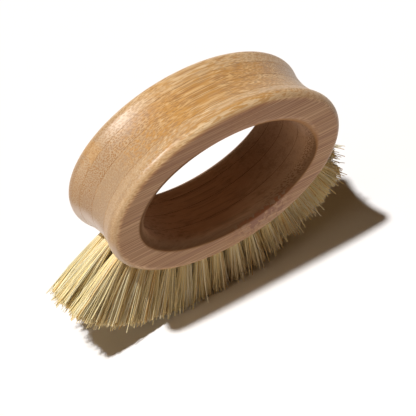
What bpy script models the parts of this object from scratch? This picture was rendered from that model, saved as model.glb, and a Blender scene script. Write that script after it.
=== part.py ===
# Oval kitchen brush: a laminated bamboo ring that the fingers pass through,
# with three rows of plant fibre tufts set in the groove round its lower half.
# Units are metres. X runs along the ring, Y through its depth, and Z is up.
# The brush stands on its bristle tips at Z = 0, and its near face looks along -Y.

import math
import random

import bmesh
import bpy
from mathutils import Matrix, Vector

# Ring, measured over its rims, and its wall round the finger hole
RING_LENGTH = 0.125
RING_HEIGHT = 0.0845
END_WALL = 0.0180
TOP_WALL = 0.01625

# Depth of each glued board, from the near face to the far one
NEAR_BOARD_DEPTH = 0.0100
SECOND_BOARD_DEPTH = 0.0106
THIRD_BOARD_DEPTH = 0.0082
FAR_BOARD_DEPTH = 0.0091
GLUE_GAP = 0.0002

# Cross section of the ring
OUTER_ROUNDING = 0.0039
INNER_ROUNDING = 0.0054
GROOVE_DEPTH = 0.0026

# Tufts: their drilled holes, their rows and the free length of the fibres
TUFT_HOLE_RADIUS = 0.0021
TUFT_HOLE_DEPTH = 0.0090
ROOT_CLEARANCE = 0.0003
ROOT_RISE = 0.0005
ROW_PITCH = 0.0062
ROW_PITCH_AT_TIPS = 0.0092
MIDDLE_ROW_TURN = math.radians(120)
OUTER_ROW_TUFTS = 15
MIDDLE_ROW_TUFTS = 16
BRISTLE_LENGTH = 0.0328
TRIM_ERROR = 0.0012
STAND_FLAT_DEPTH = 0.0005

# Strands of one tuft
STRANDS_PER_TUFT = 8
STRAND_GAP = 0.0002
STRAND_RADIUS = 0.00075
STRAND_TIP_RADIUS = 0.00070
TUFT_SPACING_AT_TIPS = 0.0007
KNEE_LENGTH_SHARE = 0.38
KNEE_LEAN_SHARE = 0.30
OUTER_REACH_SHARE = 1.0
INNER_REACH_SHARE = 0.52
REACH_SPREAD_SHARE = 0.10
TRIM_STRIDE = 3
CHANCE_SEED = 7

# Fineness of the surfaces
RING_STATIONS = 80
ROUNDING_STEPS = 5
LIP_STEPS = 6
GROOVE_STEPS = 8
HOLE_SIDES = 8
ARC_SAMPLES = 2000
SHARP_ANGLE = math.radians(35)
CUT_OVERRUN = 0.003

# Colour and roughness of each board and of the fibres
BAMBOO_ROUGHNESS = 0.42
FIBRE_ROUGHNESS = 0.70
NEAR_BOARD_COLOUR = (0.560, 0.370, 0.200)
SECOND_BOARD_COLOUR = (0.640, 0.440, 0.240)
THIRD_BOARD_COLOUR = (0.520, 0.320, 0.150)
FAR_BOARD_COLOUR = (0.600, 0.400, 0.210)
FIBRE_COLOUR = (0.780, 0.660, 0.400)

BOARD_DEPTHS = (NEAR_BOARD_DEPTH, SECOND_BOARD_DEPTH, THIRD_BOARD_DEPTH, FAR_BOARD_DEPTH)
RING_DEPTH = sum(BOARD_DEPTHS)
HOLE_LENGTH = RING_LENGTH - 2 * END_WALL
HOLE_HEIGHT = RING_HEIGHT - 2 * TOP_WALL
NEAR_FACE = -RING_DEPTH / 2
CENTRE_HEIGHT = RING_HEIGHT / 2 + BRISTLE_LENGTH - STAND_FLAT_DEPTH


def clear_scene():
    for old in list(bpy.data.objects):
        bpy.data.objects.remove(old, do_unlink=True)


def make_collection(name):
    made = bpy.data.collections.new(name)
    bpy.context.scene.collection.children.link(made)
    return made


def make_material(name, colour, roughness):
    made = bpy.data.materials.new(name)
    made.use_nodes = True
    shader = made.node_tree.nodes["Principled BSDF"]
    shader.inputs["Base Color"].default_value = (*colour, 1.0)
    shader.inputs["Roughness"].default_value = roughness
    shader.inputs["Metallic"].default_value = 0.0
    made.diffuse_color = (*colour, 1.0)
    return made


def add_object(name, bm, collection, material=None):
    bmesh.ops.recalc_face_normals(bm, faces=bm.faces)
    mesh = bpy.data.meshes.new(name)
    bm.to_mesh(mesh)
    bm.free()
    made = bpy.data.objects.new(name, mesh)
    collection.objects.link(made)
    if material:
        mesh.materials.append(material)
    return made


def hide_cutter(cutter):
    cutter.hide_render = True
    cutter.display_type = "WIRE"


def cut_away(target, cutter):
    modifier = target.modifiers.new("cut_" + cutter.name, "BOOLEAN")
    modifier.operation = "DIFFERENCE"
    modifier.solver = "EXACT"
    modifier.object = cutter


def ellipse_point(length, height, angle):
    # Point and outward normal on an ellipse in the XZ plane, at an eccentric angle
    x = length / 2 * math.cos(angle)
    z = height / 2 * math.sin(angle)
    normal = Vector((math.cos(angle) * height, 0.0, math.sin(angle) * length)).normalized()
    return Vector((x, 0.0, z)), normal


def cove_shape():
    # The groove is a cove of one radius that runs into both rounded lips without a crease
    lip_to_middle = RING_DEPTH / 2 - OUTER_ROUNDING
    turn = 2 * math.atan(GROOVE_DEPTH / lip_to_middle)
    radius = lip_to_middle / math.sin(turn) - OUTER_ROUNDING
    return turn, radius


def groove_offset(depth):
    # Depth of the outer surface below the rims, between the tops of the two lips
    turn, radius = cove_shape()
    from_middle = abs(depth - RING_DEPTH / 2)
    if from_middle < radius * math.sin(turn):
        return GROOVE_DEPTH - radius + math.sqrt(radius ** 2 - from_middle ** 2)
    from_lip = max(RING_DEPTH / 2 - OUTER_ROUNDING - from_middle, 0.0)
    return OUTER_ROUNDING - math.sqrt(OUTER_ROUNDING ** 2 - from_lip ** 2)


def outer_profile():
    # (depth from the near face, offset from the rim ellipse), near to far
    cove_turn, cove_radius = cove_shape()
    near_lip = []
    for step in range(LIP_STEPS + 1):
        turn = (math.pi / 2 + cove_turn) * step / LIP_STEPS
        near_lip.append((OUTER_ROUNDING * (1 - math.cos(turn)), OUTER_ROUNDING * (math.sin(turn) - 1)))
    cove = []
    for step in range(1, GROOVE_STEPS):
        turn = cove_turn * (2 * step / GROOVE_STEPS - 1)
        depth = RING_DEPTH / 2 + cove_radius * math.sin(turn)
        cove.append((depth, cove_radius * (1 - math.cos(turn)) - GROOVE_DEPTH))
    far_lip = [(RING_DEPTH - depth, offset) for depth, offset in reversed(near_lip)]
    return near_lip + cove + far_lip


def inner_profile():
    # (depth from the near face, offset from the hole's ellipse), near to far
    near_arc = []
    for step in range(ROUNDING_STEPS + 1):
        turn = math.pi / 2 * step / ROUNDING_STEPS
        near_arc.append((INNER_ROUNDING * (1 - math.cos(turn)), INNER_ROUNDING * (1 - math.sin(turn))))
    far_arc = [(RING_DEPTH - depth, offset) for depth, offset in reversed(near_arc)]
    return near_arc + far_arc


def offset_at(profile, depth):
    for (depth_a, offset_a), (depth_b, offset_b) in zip(profile, profile[1:]):
        if depth_a <= depth <= depth_b:
            share = (depth - depth_a) / (depth_b - depth_a)
            return offset_a + share * (offset_b - offset_a)
    return profile[-1][1]


def board_profile(profile, start, end):
    # The stretch of a profile that one board takes, with its two ends on the glue planes.
    # A profile point that nearly meets a glue plane is left out.
    nearest = INNER_ROUNDING / ROUNDING_STEPS / 2
    first_board = start == 0.0
    last_board = end == RING_DEPTH
    inside = []
    for depth, offset in profile:
        clear_of_start = first_board or depth > start + nearest
        clear_of_end = last_board or depth < end - nearest
        if start < depth < end and clear_of_start and clear_of_end:
            inside.append((depth, offset))
    return [(start, offset_at(profile, start)), *inside, (end, offset_at(profile, end))]


def make_board(name, start, end, collection, material):
    # The wall is thicker at the ring's ends than at its top, so the section is lofted round
    outside = board_profile(outer_profile(), start, end)
    inside = board_profile(inner_profile(), start, end)
    bm = bmesh.new()
    stations = []
    for step in range(RING_STATIONS):
        angle = 2 * math.pi * step / RING_STATIONS
        rim, rim_normal = ellipse_point(RING_LENGTH, RING_HEIGHT, angle)
        wall, wall_normal = ellipse_point(HOLE_LENGTH, HOLE_HEIGHT, angle)
        section = [rim + rim_normal * offset + Vector((0.0, depth, 0.0)) for depth, offset in outside]
        section += [wall + wall_normal * offset + Vector((0.0, depth, 0.0)) for depth, offset in reversed(inside)]
        stations.append([bm.verts.new(point) for point in section])
    count = len(stations[0])
    for station, following in zip(stations, stations[1:] + stations[:1]):
        for k in range(count):
            other = (k + 1) % count
            bm.faces.new((station[k], station[other], following[other], following[k]))
    board = add_object(name, bm, collection, material)
    board.location = (0.0, NEAR_FACE, CENTRE_HEIGHT)
    board.data.shade_smooth()
    board.data.set_sharp_from_angle(angle=SHARP_ANGLE)
    return board


def lower_rim():
    # (distance, eccentric angle) along the rim from its lowest point up one side, on fine chords
    travelled = 0.0
    samples = [(travelled, -math.pi / 2)]
    for k in range(1, ARC_SAMPLES + 1):
        angle = -math.pi / 2 + math.pi / 2 * k / ARC_SAMPLES
        here = ellipse_point(RING_LENGTH, RING_HEIGHT, samples[-1][1])[0]
        there = ellipse_point(RING_LENGTH, RING_HEIGHT, angle)[0]
        travelled += (there - here).length
        samples.append((travelled, angle))
    return samples


def row_angles(count):
    # Eccentric angles of one row's tufts, at the pitch that spreads the middle row over its turn
    samples = lower_rim()
    half_turn = MIDDLE_ROW_TURN / 2
    half_row = max(distance for distance, angle in samples if angle + math.pi / 2 <= half_turn)
    pitch = 2 * half_row / (MIDDLE_ROW_TUFTS - 1)
    angles = []
    for k in range(count):
        distance = (k - (count - 1) / 2) * pitch
        nearest = min(samples, key=lambda sample: abs(sample[0] - abs(distance)))
        from_lowest = nearest[1] + math.pi / 2
        angles.append(-math.pi / 2 + math.copysign(from_lowest, distance))
    return angles


def tuft_frame(angle, depth):
    # A frame whose origin is the middle of the hole's mouth, with Z out of the ring and Y along its depth
    rim, outward = ellipse_point(RING_LENGTH, RING_HEIGHT, angle)
    across = Vector((0.0, 1.0, 0.0))
    along = across.cross(outward)
    mouth = rim - outward * groove_offset(depth)
    mouth += Vector((0.0, NEAR_FACE + depth, CENTRE_HEIGHT))
    frame = Matrix((along, across, outward)).transposed().to_4x4()
    frame.translation = mouth
    return frame


def tip_spacings(angles):
    # Distance from each tuft's tip to the nearest one beside it in the row
    tips = []
    for angle in angles:
        rim, outward = ellipse_point(RING_LENGTH, RING_HEIGHT, angle)
        tips.append(rim + outward * BRISTLE_LENGTH)
    between = [(there - here).length for here, there in zip(tips, tips[1:])]
    return [min(pair) for pair in zip(between[:1] + between, between + between[-1:])]


def add_hole_cutter(bm, frame):
    length = TUFT_HOLE_DEPTH + CUT_OVERRUN
    middle = Matrix.Translation((0.0, 0.0, CUT_OVERRUN - length / 2))
    bmesh.ops.create_cone(
        bm,
        cap_ends=True,
        segments=HOLE_SIDES,
        radius1=TUFT_HOLE_RADIUS,
        radius2=TUFT_HOLE_RADIUS,
        depth=length,
        matrix=frame @ middle,
    )


def move_face(face, centre, radius):
    old_centre = face.calc_center_median()
    old_radius = sum((vert.co - old_centre).length for vert in face.verts) / len(face.verts)
    for vert in face.verts:
        vert.co = centre + (vert.co - old_centre) * (radius / old_radius)


def make_tuft(name, frame, length, splay, spread_along, spread_across, chance, collection, material):
    # The folded fibres fill the drilled hole as one root, and its strands fan out from the top.
    # Splay carries the tips of an outer row away from the middle row.
    root_radius = TUFT_HOLE_RADIUS - ROOT_CLEARANCE
    root_length = TUFT_HOLE_DEPTH - ROOT_CLEARANCE + ROOT_RISE
    bm = bmesh.new()
    bmesh.ops.create_cone(
        bm,
        cap_ends=True,
        segments=STRANDS_PER_TUFT,
        radius1=root_radius,
        radius2=root_radius,
        depth=root_length,
        matrix=Matrix.Translation((0.0, 0.0, ROOT_RISE - root_length / 2)),
    )
    top = max(bm.faces, key=lambda face: face.calc_center_median().z)
    strands = bmesh.ops.poke(bm, faces=[top])["faces"]
    bmesh.ops.inset_individual(bm, faces=strands, thickness=STRAND_GAP / 2)
    sector = 2 * math.pi / STRANDS_PER_TUFT
    turned = chance.randrange(STRANDS_PER_TUFT)
    reaches = []
    for number in range(STRANDS_PER_TUFT):
        reach = OUTER_REACH_SHARE if number % 2 == 0 else INNER_REACH_SHARE
        reaches.append(reach * (1 - REACH_SPREAD_SHARE * chance.random()))
    root_centres = {}
    for face in strands:
        centre = face.calc_center_median()
        root_centres[math.floor(math.atan2(centre.y, centre.x) / sector) % STRANDS_PER_TUFT] = centre.copy()
    carried = 0.0
    for length_share, lean_share, radius in (
        (KNEE_LENGTH_SHARE, KNEE_LEAN_SHARE, STRAND_RADIUS),
        (1.0, 1.0, STRAND_TIP_RADIUS),
    ):
        strands = bmesh.ops.extrude_discrete_faces(bm, faces=strands)["faces"]
        for face in strands:
            centre = face.calc_center_median()
            number = math.floor(math.atan2(centre.y - carried, centre.x) / sector) % STRANDS_PER_TUFT
            root = root_centres[number]
            direction = math.atan2(root.y, root.x)
            order = (number + turned) * TRIM_STRIDE % STRANDS_PER_TUFT
            shortening = TRIM_ERROR * order / (STRANDS_PER_TUFT - 1)
            tip = Vector((
                math.cos(direction) * spread_along * reaches[number],
                math.sin(direction) * spread_across * reaches[number] + splay,
                length - shortening,
            ))
            start = Vector((root.x, root.y, ROOT_RISE))
            place = start.lerp(tip, lean_share)
            place.z = start.z + (tip.z - start.z) * length_share
            move_face(face, place, radius)
        carried = splay * lean_share
    tuft = add_object(name, bm, collection, material)
    tuft.matrix_world = frame
    return tuft


def make_floor_cutter(collection):
    # Takes the lowest fibre ends off level with the surface that the brush stands on
    bm = bmesh.new()
    size = Vector((RING_LENGTH, RING_DEPTH, BRISTLE_LENGTH))
    bmesh.ops.create_cube(bm, size=1.0, matrix=Matrix.Diagonal((*size, 1.0)))
    cutter = add_object("floor_cutter", bm, collection)
    cutter.location = (0.0, 0.0, -BRISTLE_LENGTH / 2)
    hide_cutter(cutter)
    return cutter


def make_ring(parts, cutters, tuft_frames):
    boards = (
        ("board_near", NEAR_BOARD_COLOUR),
        ("board_second", SECOND_BOARD_COLOUR),
        ("board_third", THIRD_BOARD_COLOUR),
        ("board_far", FAR_BOARD_COLOUR),
    )
    bm = bmesh.new()
    for frame in tuft_frames:
        add_hole_cutter(bm, frame)
    hole_cutter = add_object("tuft_hole_cutter", bm, cutters)
    hide_cutter(hole_cutter)
    start = 0.0
    rows_reach = ROW_PITCH + TUFT_HOLE_RADIUS
    for (name, colour), depth in zip(boards, BOARD_DEPTHS):
        end = start + depth
        material = make_material(name + "_bamboo", colour, BAMBOO_ROUGHNESS)
        near_side = start if start == 0.0 else start + GLUE_GAP / 2
        far_side = RING_DEPTH if name == "board_far" else end - GLUE_GAP / 2
        board = make_board(name, near_side, far_side, parts, material)
        if near_side < RING_DEPTH / 2 + rows_reach and far_side > RING_DEPTH / 2 - rows_reach:
            cut_away(board, hole_cutter)
        start = end


def main():
    clear_scene()
    parts = make_collection("kitchen_brush")
    cutters = make_collection("cutters")
    fibre = make_material("plant_fibre", FIBRE_COLOUR, FIBRE_ROUGHNESS)
    floor_cutter = make_floor_cutter(cutters)
    middle = RING_DEPTH / 2
    rows = (
        ("near", -1, OUTER_ROW_TUFTS),
        ("middle", 0, MIDDLE_ROW_TUFTS),
        ("far", 1, OUTER_ROW_TUFTS),
    )
    chance = random.Random(CHANCE_SEED)
    frames = []
    tip_margin = STRAND_TIP_RADIUS + TUFT_SPACING_AT_TIPS / 2
    spread_across = ROW_PITCH_AT_TIPS / 2 - tip_margin
    for row, side, count in rows:
        depth = middle + side * ROW_PITCH
        splay = side * (ROW_PITCH_AT_TIPS - ROW_PITCH)
        angles = row_angles(count)
        for k, (angle, spacing) in enumerate(zip(angles, tip_spacings(angles))):
            spread_along = spacing / 2 - tip_margin
            frame = tuft_frame(angle, depth)
            frames.append(frame)
            length = BRISTLE_LENGTH + groove_offset(depth)
            name = f"tuft_{row}_{k + 1:02d}"
            tuft = make_tuft(name, frame, length, splay, spread_along, spread_across, chance, parts, fibre)
            lowest = min((frame @ vert.co).z for vert in tuft.data.vertices)
            if lowest < 0.0:
                cut_away(tuft, floor_cutter)
    make_ring(parts, cutters, frames)


main()
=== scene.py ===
import math

import bmesh
import bpy
from mathutils import Matrix, Vector


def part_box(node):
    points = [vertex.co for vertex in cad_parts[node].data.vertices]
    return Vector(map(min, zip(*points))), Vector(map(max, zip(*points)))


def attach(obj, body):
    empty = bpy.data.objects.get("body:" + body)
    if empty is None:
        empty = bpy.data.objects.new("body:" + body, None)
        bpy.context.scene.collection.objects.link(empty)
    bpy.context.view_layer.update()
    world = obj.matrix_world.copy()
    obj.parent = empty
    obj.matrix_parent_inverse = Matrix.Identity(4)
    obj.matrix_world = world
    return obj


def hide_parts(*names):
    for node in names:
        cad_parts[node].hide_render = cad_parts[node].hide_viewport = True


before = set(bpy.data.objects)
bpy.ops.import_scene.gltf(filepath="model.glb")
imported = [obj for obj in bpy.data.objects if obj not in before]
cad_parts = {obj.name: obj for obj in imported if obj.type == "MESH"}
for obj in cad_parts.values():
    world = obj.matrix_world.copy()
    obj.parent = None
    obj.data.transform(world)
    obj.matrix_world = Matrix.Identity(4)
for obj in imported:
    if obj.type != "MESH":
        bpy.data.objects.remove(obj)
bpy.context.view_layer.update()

print("frame loaded:", len(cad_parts), "nodes")


# The ring as the frame gives it: its ends, its top and the two flat faces
nearLow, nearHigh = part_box("board_near")
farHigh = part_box("board_far")[1]

ring = {
    "length": nearHigh[0] - nearLow[0],
    "height": nearHigh[2] - nearLow[2],
    "depth": farHigh[1] - nearLow[1],
    "nearFace": nearLow[1],
    "centreZ": (nearLow[2] + nearHigh[2]) / 2,
    "endWall": 0.0180,
    "topWall": 0.01625,
    "outerRounding": 0.0039,
    "innerRounding": 0.0054,
    "grooveDepth": 0.0026,
}


# Small helpers for node trees

class Wire:
    # What leaves a socket, so that a sum of nodes is written as a sum

    def __init__(self, tree, socket):
        self.tree = tree
        self.socket = socket

    def __add__(self, other):
        return combine("ADD", self, other)

    def __sub__(self, other):
        return combine("SUBTRACT", self, other)

    def __rsub__(self, other):
        return combine("SUBTRACT", other, self)

    def __mul__(self, other):
        return combine("MULTIPLY", self, other)

    def __truediv__(self, other):
        return combine("DIVIDE", self, other)

    def __rtruediv__(self, other):
        return combine("DIVIDE", other, self)

    def __pow__(self, other):
        return combine("POWER", self, other)

    def __lt__(self, other):
        return combine("LESS_THAN", self, other)

    def __gt__(self, other):
        return combine("GREATER_THAN", self, other)

    def __abs__(self):
        return maths("ABSOLUTE", self)


class Node:
    # A node in a tree, with its outputs as wires, by name or by number

    def __init__(self, tree, node):
        self.tree = tree
        self.inputs = node.inputs
        self.outputs = node.outputs

    def __getitem__(self, key):
        return Wire(self.tree, self.outputs[key])


def feed(socket, value):
    # A socket takes either a wire or a plain value
    if isinstance(value, Wire):
        value.tree.links.new(value.socket, socket)
    else:
        socket.default_value = value


def addNode(tree, kind, inputs=None, **settings):
    node = tree.nodes.new(kind)
    for name, value in settings.items():
        setattr(node, name, value)
    for name, value in (inputs or {}).items():
        feed(node.inputs[name], value)
    return Node(tree, node)


def treeOf(*values):
    return next(value.tree for value in values if isinstance(value, Wire))


def maths(operation, *values, clamp=False):
    settings = {"operation": operation, "use_clamp": clamp}
    return addNode(treeOf(*values), "ShaderNodeMath", dict(enumerate(values)), **settings)[0]


def vectorMaths(operation, *values, **extra):
    inputs = {**dict(enumerate(values)), **extra}
    node = addNode(treeOf(*values), "ShaderNodeVectorMath", inputs, operation=operation)
    return node["Value" if operation in ("LENGTH", "DOT_PRODUCT") else "Vector"]


def isVector(value):
    return isinstance(value, tuple) or isinstance(value, Wire) and value.socket.type == "VECTOR"


def combine(operation, a, b):
    # Two vectors or two numbers; a vector times a number is scaled by it
    if isVector(a) and isVector(b):
        return vectorMaths(operation, a, b)
    if isVector(a):
        return vectorMaths("SCALE", a, Scale=b)
    return maths(operation, a, b)


def atLeast(value, least):
    return maths("MAXIMUM", value, least)


def joinXyz(x=0.0, y=0.0, z=0.0):
    return addNode(treeOf(x, y, z), "ShaderNodeCombineXYZ", {"X": x, "Y": y, "Z": z})[0]


def splitXyz(vector):
    return addNode(vector.tree, "ShaderNodeSeparateXYZ", {"Vector": vector})


def choose(condition, whenFalse, whenTrue, kind="FLOAT"):
    inputs = {"Switch": condition, "False": whenFalse, "True": whenTrue}
    return addNode(condition.tree, "GeometryNodeSwitch", inputs, input_type=kind)[0]


def readAttribute(tree, name, dataType="FLOAT"):
    return addNode(tree, "GeometryNodeInputNamedAttribute", {"Name": name}, data_type=dataType)["Attribute"]


def storeAttribute(geometry, name, value, dataType="FLOAT"):
    inputs = {"Geometry": geometry, "Name": name, "Value": value}
    settings = {"data_type": dataType, "domain": "POINT"}
    return addNode(geometry.tree, "GeometryNodeStoreNamedAttribute", inputs, **settings)["Geometry"]


def resampled(curve, count):
    return addNode(curve.tree, "GeometryNodeResampleCurve", {"Curve": curve, "Count": count})[0]


def straightLine(tree, end, count):
    line = addNode(tree, "GeometryNodeCurvePrimitiveLine", {"Start": (0, 0, 0), "End": end})[0]
    return resampled(line, count)


def moved(geometry, place):
    inputs = {"Geometry": geometry, "Position": place}
    return addNode(geometry.tree, "GeometryNodeSetPosition", inputs)[0]


def shaded(geometry, smooth, domain):
    inputs = {"Geometry": geometry, "Shade Smooth": smooth}
    return addNode(geometry.tree, "GeometryNodeSetShadeSmooth", inputs, domain=domain)[0]


def realized(geometry):
    return addNode(geometry.tree, "GeometryNodeRealizeInstances", {"Geometry": geometry})[0]


def finish(result, geometry, material):
    # A tree that makes pieces ends in real meshes with their material
    inputs = {"Geometry": realized(geometry), "Material": material}
    feed(result["Geometry"], addNode(geometry.tree, "GeometryNodeSetMaterial", inputs)[0])


def randomNumber(seed, low, high):
    inputs = {2: low, 3: high, "Seed": seed}
    return addNode(seed.tree, "FunctionNodeRandomValue", inputs, data_type="FLOAT")[1]


def makeTree(name, kind, inputs, outputs):
    # Inputs and outputs are lists of (name, socket type, default or None)
    tree = bpy.data.node_groups.new(name, kind)
    for direction, sockets in (("INPUT", inputs), ("OUTPUT", outputs)):
        for label, socketType, default in sockets:
            made = tree.interface.new_socket(label, in_out=direction, socket_type=socketType)
            if default is not None:
                made.default_value = default
    start = tree.nodes.new("NodeGroupInput")
    end = tree.nodes.new("NodeGroupOutput")
    return tree, Node(tree, start), end.inputs


def placeGroup(tree, group, values):
    kind = "GeometryNodeGroup" if tree.bl_idname == "GeometryNodeTree" else "ShaderNodeGroup"
    placed = addNode(tree, kind, node_tree=group)
    for name, value in values.items():
        feed(placed.inputs[name], value)
    return placed


def runTree(name, tree, values, material):
    # The tree's result becomes a plain mesh of its own, and the modifier goes
    blank = bpy.data.meshes.new(name + "Blank")
    piece = bpy.data.objects.new(name, blank)
    bpy.context.scene.collection.objects.link(piece)
    modifier = piece.modifiers.new("nodes", "NODES")
    modifier.node_group = tree
    sockets = {item.name: item.identifier for item in tree.interface.items_tree
               if item.item_type == "SOCKET" and item.in_out == "INPUT"}
    for label, value in values.items():
        modifier[sockets[label]] = value
    modifier[sockets["Material"]] = material
    graph = bpy.context.evaluated_depsgraph_get()
    mesh = bpy.data.meshes.new_from_object(piece.evaluated_get(graph), depsgraph=graph)
    piece.modifiers.remove(modifier)
    piece.data = mesh
    mesh.name = name
    bpy.data.meshes.remove(blank)
    return piece


floatSocket = "NodeSocketFloat"
intSocket = "NodeSocketInt"
boolSocket = "NodeSocketBool"
vectorSocket = "NodeSocketVector"
geometrySocket = "NodeSocketGeometry"
materialSocket = "NodeSocketMaterial"

ringValues = {
    "Ring Length": ring["length"],
    "Ring Height": ring["height"],
    "Ring Depth": ring["depth"],
    "Near Face": ring["nearFace"],
    "Centre Z": ring["centreZ"],
    "Outer Rounding": ring["outerRounding"],
    "Groove Depth": ring["grooveDepth"],
}
ringInputs = [(label, floatSocket, value) for label, value in ringValues.items()]


def passedOn(given):
    return {label: given[label] for label in ringValues}


def roundBack(radius, fromTop):
    # How far a round has drawn back, this far along from its top
    return radius - maths("SQRT", atLeast(radius * radius - fromTop * fromTop, 0.0))


def outerDip(given, depth):
    # Two rounded lips with a cove of one radius between them, each running into the next
    rounding = given["Outer Rounding"]
    groove = given["Groove Depth"]
    middle = given["Ring Depth"] / 2.0
    lipToMiddle = middle - rounding
    sine = maths("SINE", maths("ARCTANGENT", groove / lipToMiddle) * 2.0)
    radius = lipToMiddle / sine - rounding
    fromMiddle = abs(depth - middle)
    lip = roundBack(rounding, lipToMiddle - fromMiddle)
    cove = groove - roundBack(radius, fromMiddle)
    return choose(fromMiddle < radius * sine, lip, cove)


def ovalNormal(length, height, cosine, sine):
    # Outward normal of an oval, as its x and z
    x = height * cosine
    z = length * sine
    size = maths("SQRT", x * x + z * z)
    return x / size, z / size


# Tuft places: one point in the mouth of each drilled hole of a row, with its outward direction

row = {
    "pitch": 0.0062,
    "middleTurn": math.radians(120),
    "middleTufts": 16,
    "outerTufts": 15,
    "holeRadius": 0.0021,
    "holeDepth": 0.0090,
    "samples": 600,
}


def buildTuftPlaces():
    tree, given, result = makeTree("tuftPlaces", "GeometryNodeTree", ringInputs + [
        ("Row Depth", floatSocket, 0.0),
        ("Turn", floatSocket, row["middleTurn"]),
        ("Tufts", intSocket, row["middleTufts"]),
        ("End Trim", floatSocket, 0.0),
        ("Reach", floatSocket, 0.03),
    ], [("Points", geometrySocket, None)])
    halfLength = given["Ring Length"] / 2.0
    halfHeight = given["Ring Height"] / 2.0
    fine = straightLine(tree, (1, 0, 0), row["samples"])
    factor = addNode(tree, "GeometryNodeSplineParameter")["Factor"]
    angle = (factor - 0.5) * given["Turn"] - math.pi / 2
    onOval = joinXyz(halfLength * maths("COSINE", angle), 0.0, halfHeight * maths("SINE", angle))
    marked = storeAttribute(moved(fine, onOval), "rimAngle", angle)
    trimmed = addNode(tree, "GeometryNodeTrimCurve", {
        "Curve": marked, "Start": given["End Trim"], "End": 1.0 - given["End Trim"],
    }, mode="FACTOR")[0]
    even = resampled(trimmed, given["Tufts"])
    points = addNode(tree, "GeometryNodeCurveToPoints", {"Curve": even}, mode="EVALUATED")["Points"]

    # Each point goes from the rim down to the groove, where its hole opens
    kept = readAttribute(tree, "rimAngle")
    cosine = maths("COSINE", kept)
    sine = maths("SINE", kept)
    normalX, normalZ = ovalNormal(given["Ring Length"], given["Ring Height"], cosine, sine)
    outward = joinXyz(normalX, 0.0, normalZ)
    aimed = storeAttribute(points, "outward", outward, "FLOAT_VECTOR")
    rowY = given["Near Face"] + given["Row Depth"]
    onRim = joinXyz(halfLength * cosine, rowY, halfHeight * sine + given["Centre Z"])
    mouth = onRim - outward * outerDip(given, given["Row Depth"])
    placed = moved(aimed, mouth)

    # Neighbours stand further apart at their tips than on the rim, most so where the rim turns fast
    rowLength = addNode(tree, "GeometryNodeCurveLength", {"Curve": trimmed})["Length"]
    pitch = rowLength / (given["Tufts"] - 1.0)
    pace = vectorMaths("LENGTH", joinXyz(halfLength * sine, 0.0, halfHeight * cosine))
    curvature = halfLength * halfHeight / pace ** 3.0
    tipSpacing = pitch * (curvature * given["Reach"] + 1.0)
    feed(result["Points"], storeAttribute(placed, "tipSpacing", tipSpacing))
    return tree


def rowDepth(side):
    return ring["depth"] / 2 + side * row["pitch"]


def rowTufts(side):
    return row["middleTufts"] if side == 0 else row["outerTufts"]


def rowTrim(side):
    # The outer rows stand half a pitch in from the ends of the middle row
    return 0.0 if side == 0 else 0.5 / (row["middleTufts"] - 1)


# Boards: each is lofted round the ring between the outer oval and the finger hole's oval

board = {
    "stations": 224,
    "sectionPoints": 30,
    "sharpAngle": math.radians(38),
    "mergeDistance": 0.000002,
    "cutOverrun": 0.003,
    "holeSides": 24,
}


def drilledHoles(tree, given, tuftPlaces):
    # The blind holes of all three rows, drilled square to the rim
    rows = addNode(tree, "GeometryNodeJoinGeometry")
    for side in (-1, 0, 1):
        values = {"Row Depth": rowDepth(side), "Tufts": rowTufts(side), "End Trim": rowTrim(side)}
        feed(rows.inputs[0], placeGroup(tree, tuftPlaces, {**passedOn(given), **values})["Points"])
    drillLength = row["holeDepth"] + board["cutOverrun"]
    drill = addNode(tree, "GeometryNodeMeshCylinder", {
        "Vertices": board["holeSides"], "Radius": row["holeRadius"], "Depth": drillLength,
    })["Mesh"]
    seated = addNode(tree, "GeometryNodeTransform", {
        "Geometry": drill, "Translation": (0.0, 0.0, board["cutOverrun"] - drillLength / 2),
    })[0]
    outward = readAttribute(tree, "outward", "FLOAT_VECTOR")
    turned = addNode(tree, "FunctionNodeAlignRotationToVector", {"Vector": outward}, axis="Z")[0]
    drills = addNode(tree, "GeometryNodeInstanceOnPoints", {
        "Points": rows[0], "Instance": seated, "Rotation": turned,
    })[0]
    return realized(drills)


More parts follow.
